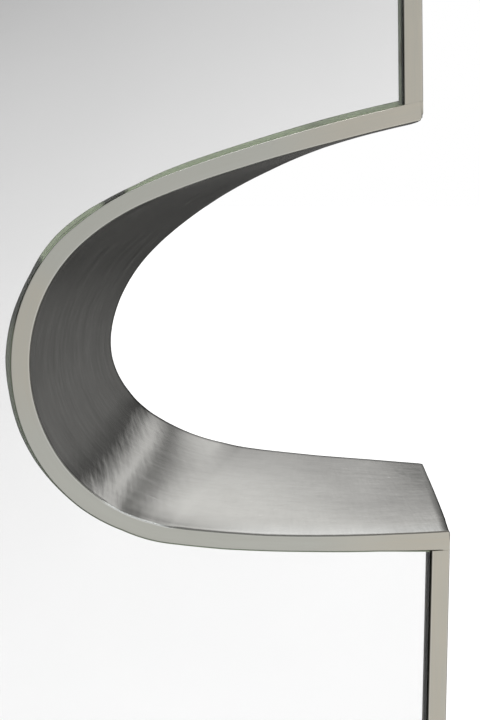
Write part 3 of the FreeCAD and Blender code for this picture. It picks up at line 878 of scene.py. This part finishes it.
# Timber, boards, rubber and mastic inside the case, as cut or as squeezed out: pine
# battens, blocks and rail, plywood formers, and the board that the glass is stuck to with
# mastic, while two rubber blocks carry it.
def plain_stuff(name, light, dark, scale, stretch, roughness, bump):
    """A dull material: two tones mixed by noise, stretched along the grain. Scale is in
    marks for each metre, and bump in metres."""
    material, tree = start_material(name)
    where = add_node(tree, "TexCoord", {}).outputs["Object"]
    drawn = add_node(tree, "Mapping", {"Vector": where, "Scale": stretch})
    marks = add_node(tree, "TexNoise", {"Vector": drawn, "Scale": scale, "Detail": 6,
                                        "Roughness": 0.65})
    cloud = add_node(tree, "TexNoise", {"Vector": where, "Scale": 12, "Detail": 3})
    mixed = add_node(tree, "Mix", {"data_type": "FLOAT", 0: 0.3, 2: marks, 3: cloud})
    level = add_node(tree, "MapRange", {"Value": mixed, "From Min": 0.34, "From Max": 0.66})
    tone = add_node(tree, "Mix", {"data_type": "RGBA", 0: level, 6: linear(dark), 7: linear(light)})
    gloss = add_node(tree, "MapRange", {"Value": mixed, "To Min": roughness - 0.1,
                                        "To Max": roughness + 0.1})
    relief = add_node(tree, "Bump", {"Height": marks, "Strength": 1.0, "Distance": bump})
    surface = add_node(tree, "BsdfPrincipled", {"Base Color": tone, "Roughness": gloss,
                                                "Normal": relief})
    add_node(tree, "OutputMaterial", {"Surface": surface})
    return material


def dress(names, material):
    """Give CAD nodes their material."""
    for name in names:
        nodes[name].data.materials.clear()
        nodes[name].data.materials.append(material)


upright, level, even = (1, 1, 0.06), (0.06, 1, 1), (1, 1, 1)
for names, stuff, light, dark, scale, stretch, roughness, bump in (
        # Planed pine: honey yellow, with darker streaks that run the batten's way
        (("batten_left", "batten_right_upper", "batten_right_lower", "corner_blocks"),
         "planed_pine_upright", 0xd9b98c, 0xb98f5e, 260, upright, 0.6, 0.08),
        (("batten_top", "batten_bottom", "hanging_rail", "notch_posts"),
         "planed_pine_level", 0xd9b98c, 0xb98f5e, 260, level, 0.6, 0.08),
        # Sanded birch plywood: pale and even, with faint level streaks
        (("notch_former_front", "notch_former_back"),
         "sanded_birch_plywood", 0xd8bf95, 0xc2a473, 180, (0.15, 1, 1), 0.6, 0.05),
        # Raw fibreboard: brown and dull, with a fine felted grain
        (("backing_board",), "raw_fibreboard", 0x9c7f5c, 0x86693f, 1500, even, 0.8, 0.04),
        # Mastic and rubber: near black, the one lumpy as squeezed out and the other fine
        (("mastic_beads",), "cured_mirror_mastic", 0x4a4641, 0x383530, 120, even, 0.6, 0.2),
        (("setting_blocks",), "black_setting_rubber", 0x2a2a2a, 0x1c1c1c, 700, even, 0.75, 0.05)):
    dress(names, plain_stuff(stuff, light, dark, scale, stretch, roughness, bump * mm))


# Back panel: 3 mm hardboard, smooth side out, pinned to the battens all round with
# small steel pins, and cut out for the two hanger plates.
# Tempered hardboard: dark brown, smooth, and a little shiny
hardboard = plain_stuff("tempered_hardboard", 0x84603e, 0x6b4a2c, 900, even, 0.5, 0.03 * mm)
source = nodes["back_panel"].data
coords = np.zeros(len(source.vertices) * 3)
source.vertices.foreach_get("co", coords)
coords = coords.reshape(-1, 3)
panel_recess = 0.45 * mm
# Corners that lie on one spot become one, and the face steps back into its rebate
merge_step = 0.001 * mm
merged, first_of = np.unique(np.round(coords / merge_step).astype(int), axis=0, return_inverse=True)
panel_points = merged * merge_step
panel_points[:, 1] = np.minimum(panel_points[:, 1], -panel_recess)
corners_of = np.zeros(len(source.loops), int)
source.loops.foreach_get("vertex_index", corners_of)
panel_faces = first_of.reshape(-1)[corners_of].reshape(-1, 3).tolist()
piece = make_piece("back_panel_board", panel_points, panel_faces, [hardboard],
                   smooth_deg=20)
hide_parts("back_panel")

pin_inset = 11 * mm
pin_spacing = 85 * mm
pin_radius = 1.4 * mm
pin_height = 0.3 * mm
first_pin = 20 * mm
pin_loop = outline_loop(pin_inset)
pin_loop = np.concatenate([pin_loop, pin_loop[:1]])
pin_run = np.concatenate([[0], np.cumsum(np.hypot(*np.diff(pin_loop, axis=0).T))])
spots = np.linspace(0, pin_run[-1], int(pin_run[-1] / pin_spacing), endpoint=False)
pin_x, pin_z = (np.interp(first_pin + spots, pin_run, column) for column in pin_loop.T)
# One head: rings of a flattened half ball, from its rim up to a small flat top
rise = np.radians((0, 30, 60, 80))[:, None]
round_it = np.radians(np.arange(0, 360, 30))[None, :]
ring = pin_radius * np.cos(rise)
head = np.stack(np.broadcast_arrays(ring * np.cos(round_it),
                                    pin_height * np.sin(rise) - panel_recess,
                                    ring * np.sin(round_it)), -1).reshape(-1, 3)
pin_points = head[None] + np.stack([pin_x, np.zeros(len(pin_x)), pin_z], -1)[:, None]
head_faces = loft_faces(len(rise), round_it.size)
pin_faces = [[corner + len(head) * pin for corner in face]
             for pin in range(len(pin_x)) for face in head_faces]


# Pins, the two keyhole hanger plates and their screws: zinc plated steel, bluish grey
# and softly bright, with a cloudy, slightly yellow bloom
zinc, tree = start_material("zinc_plated_steel")
bloom, tone = mottled(tree, 160, 4, 0xa9adb0, 0xc9c8bd)
gloss = add_node(tree, "MapRange", {"Value": bloom, "To Min": 0.28, "To Max": 0.5})
surface = add_node(tree, "BsdfPrincipled", {"Base Color": tone, "Metallic": 1.0,
                                            "Roughness": gloss})
add_node(tree, "OutputMaterial", {"Surface": surface})
make_piece("back_panel_pins", pin_points, pin_faces, [zinc])
dress(("hanger_plates", "hanger_screws"), zinc)
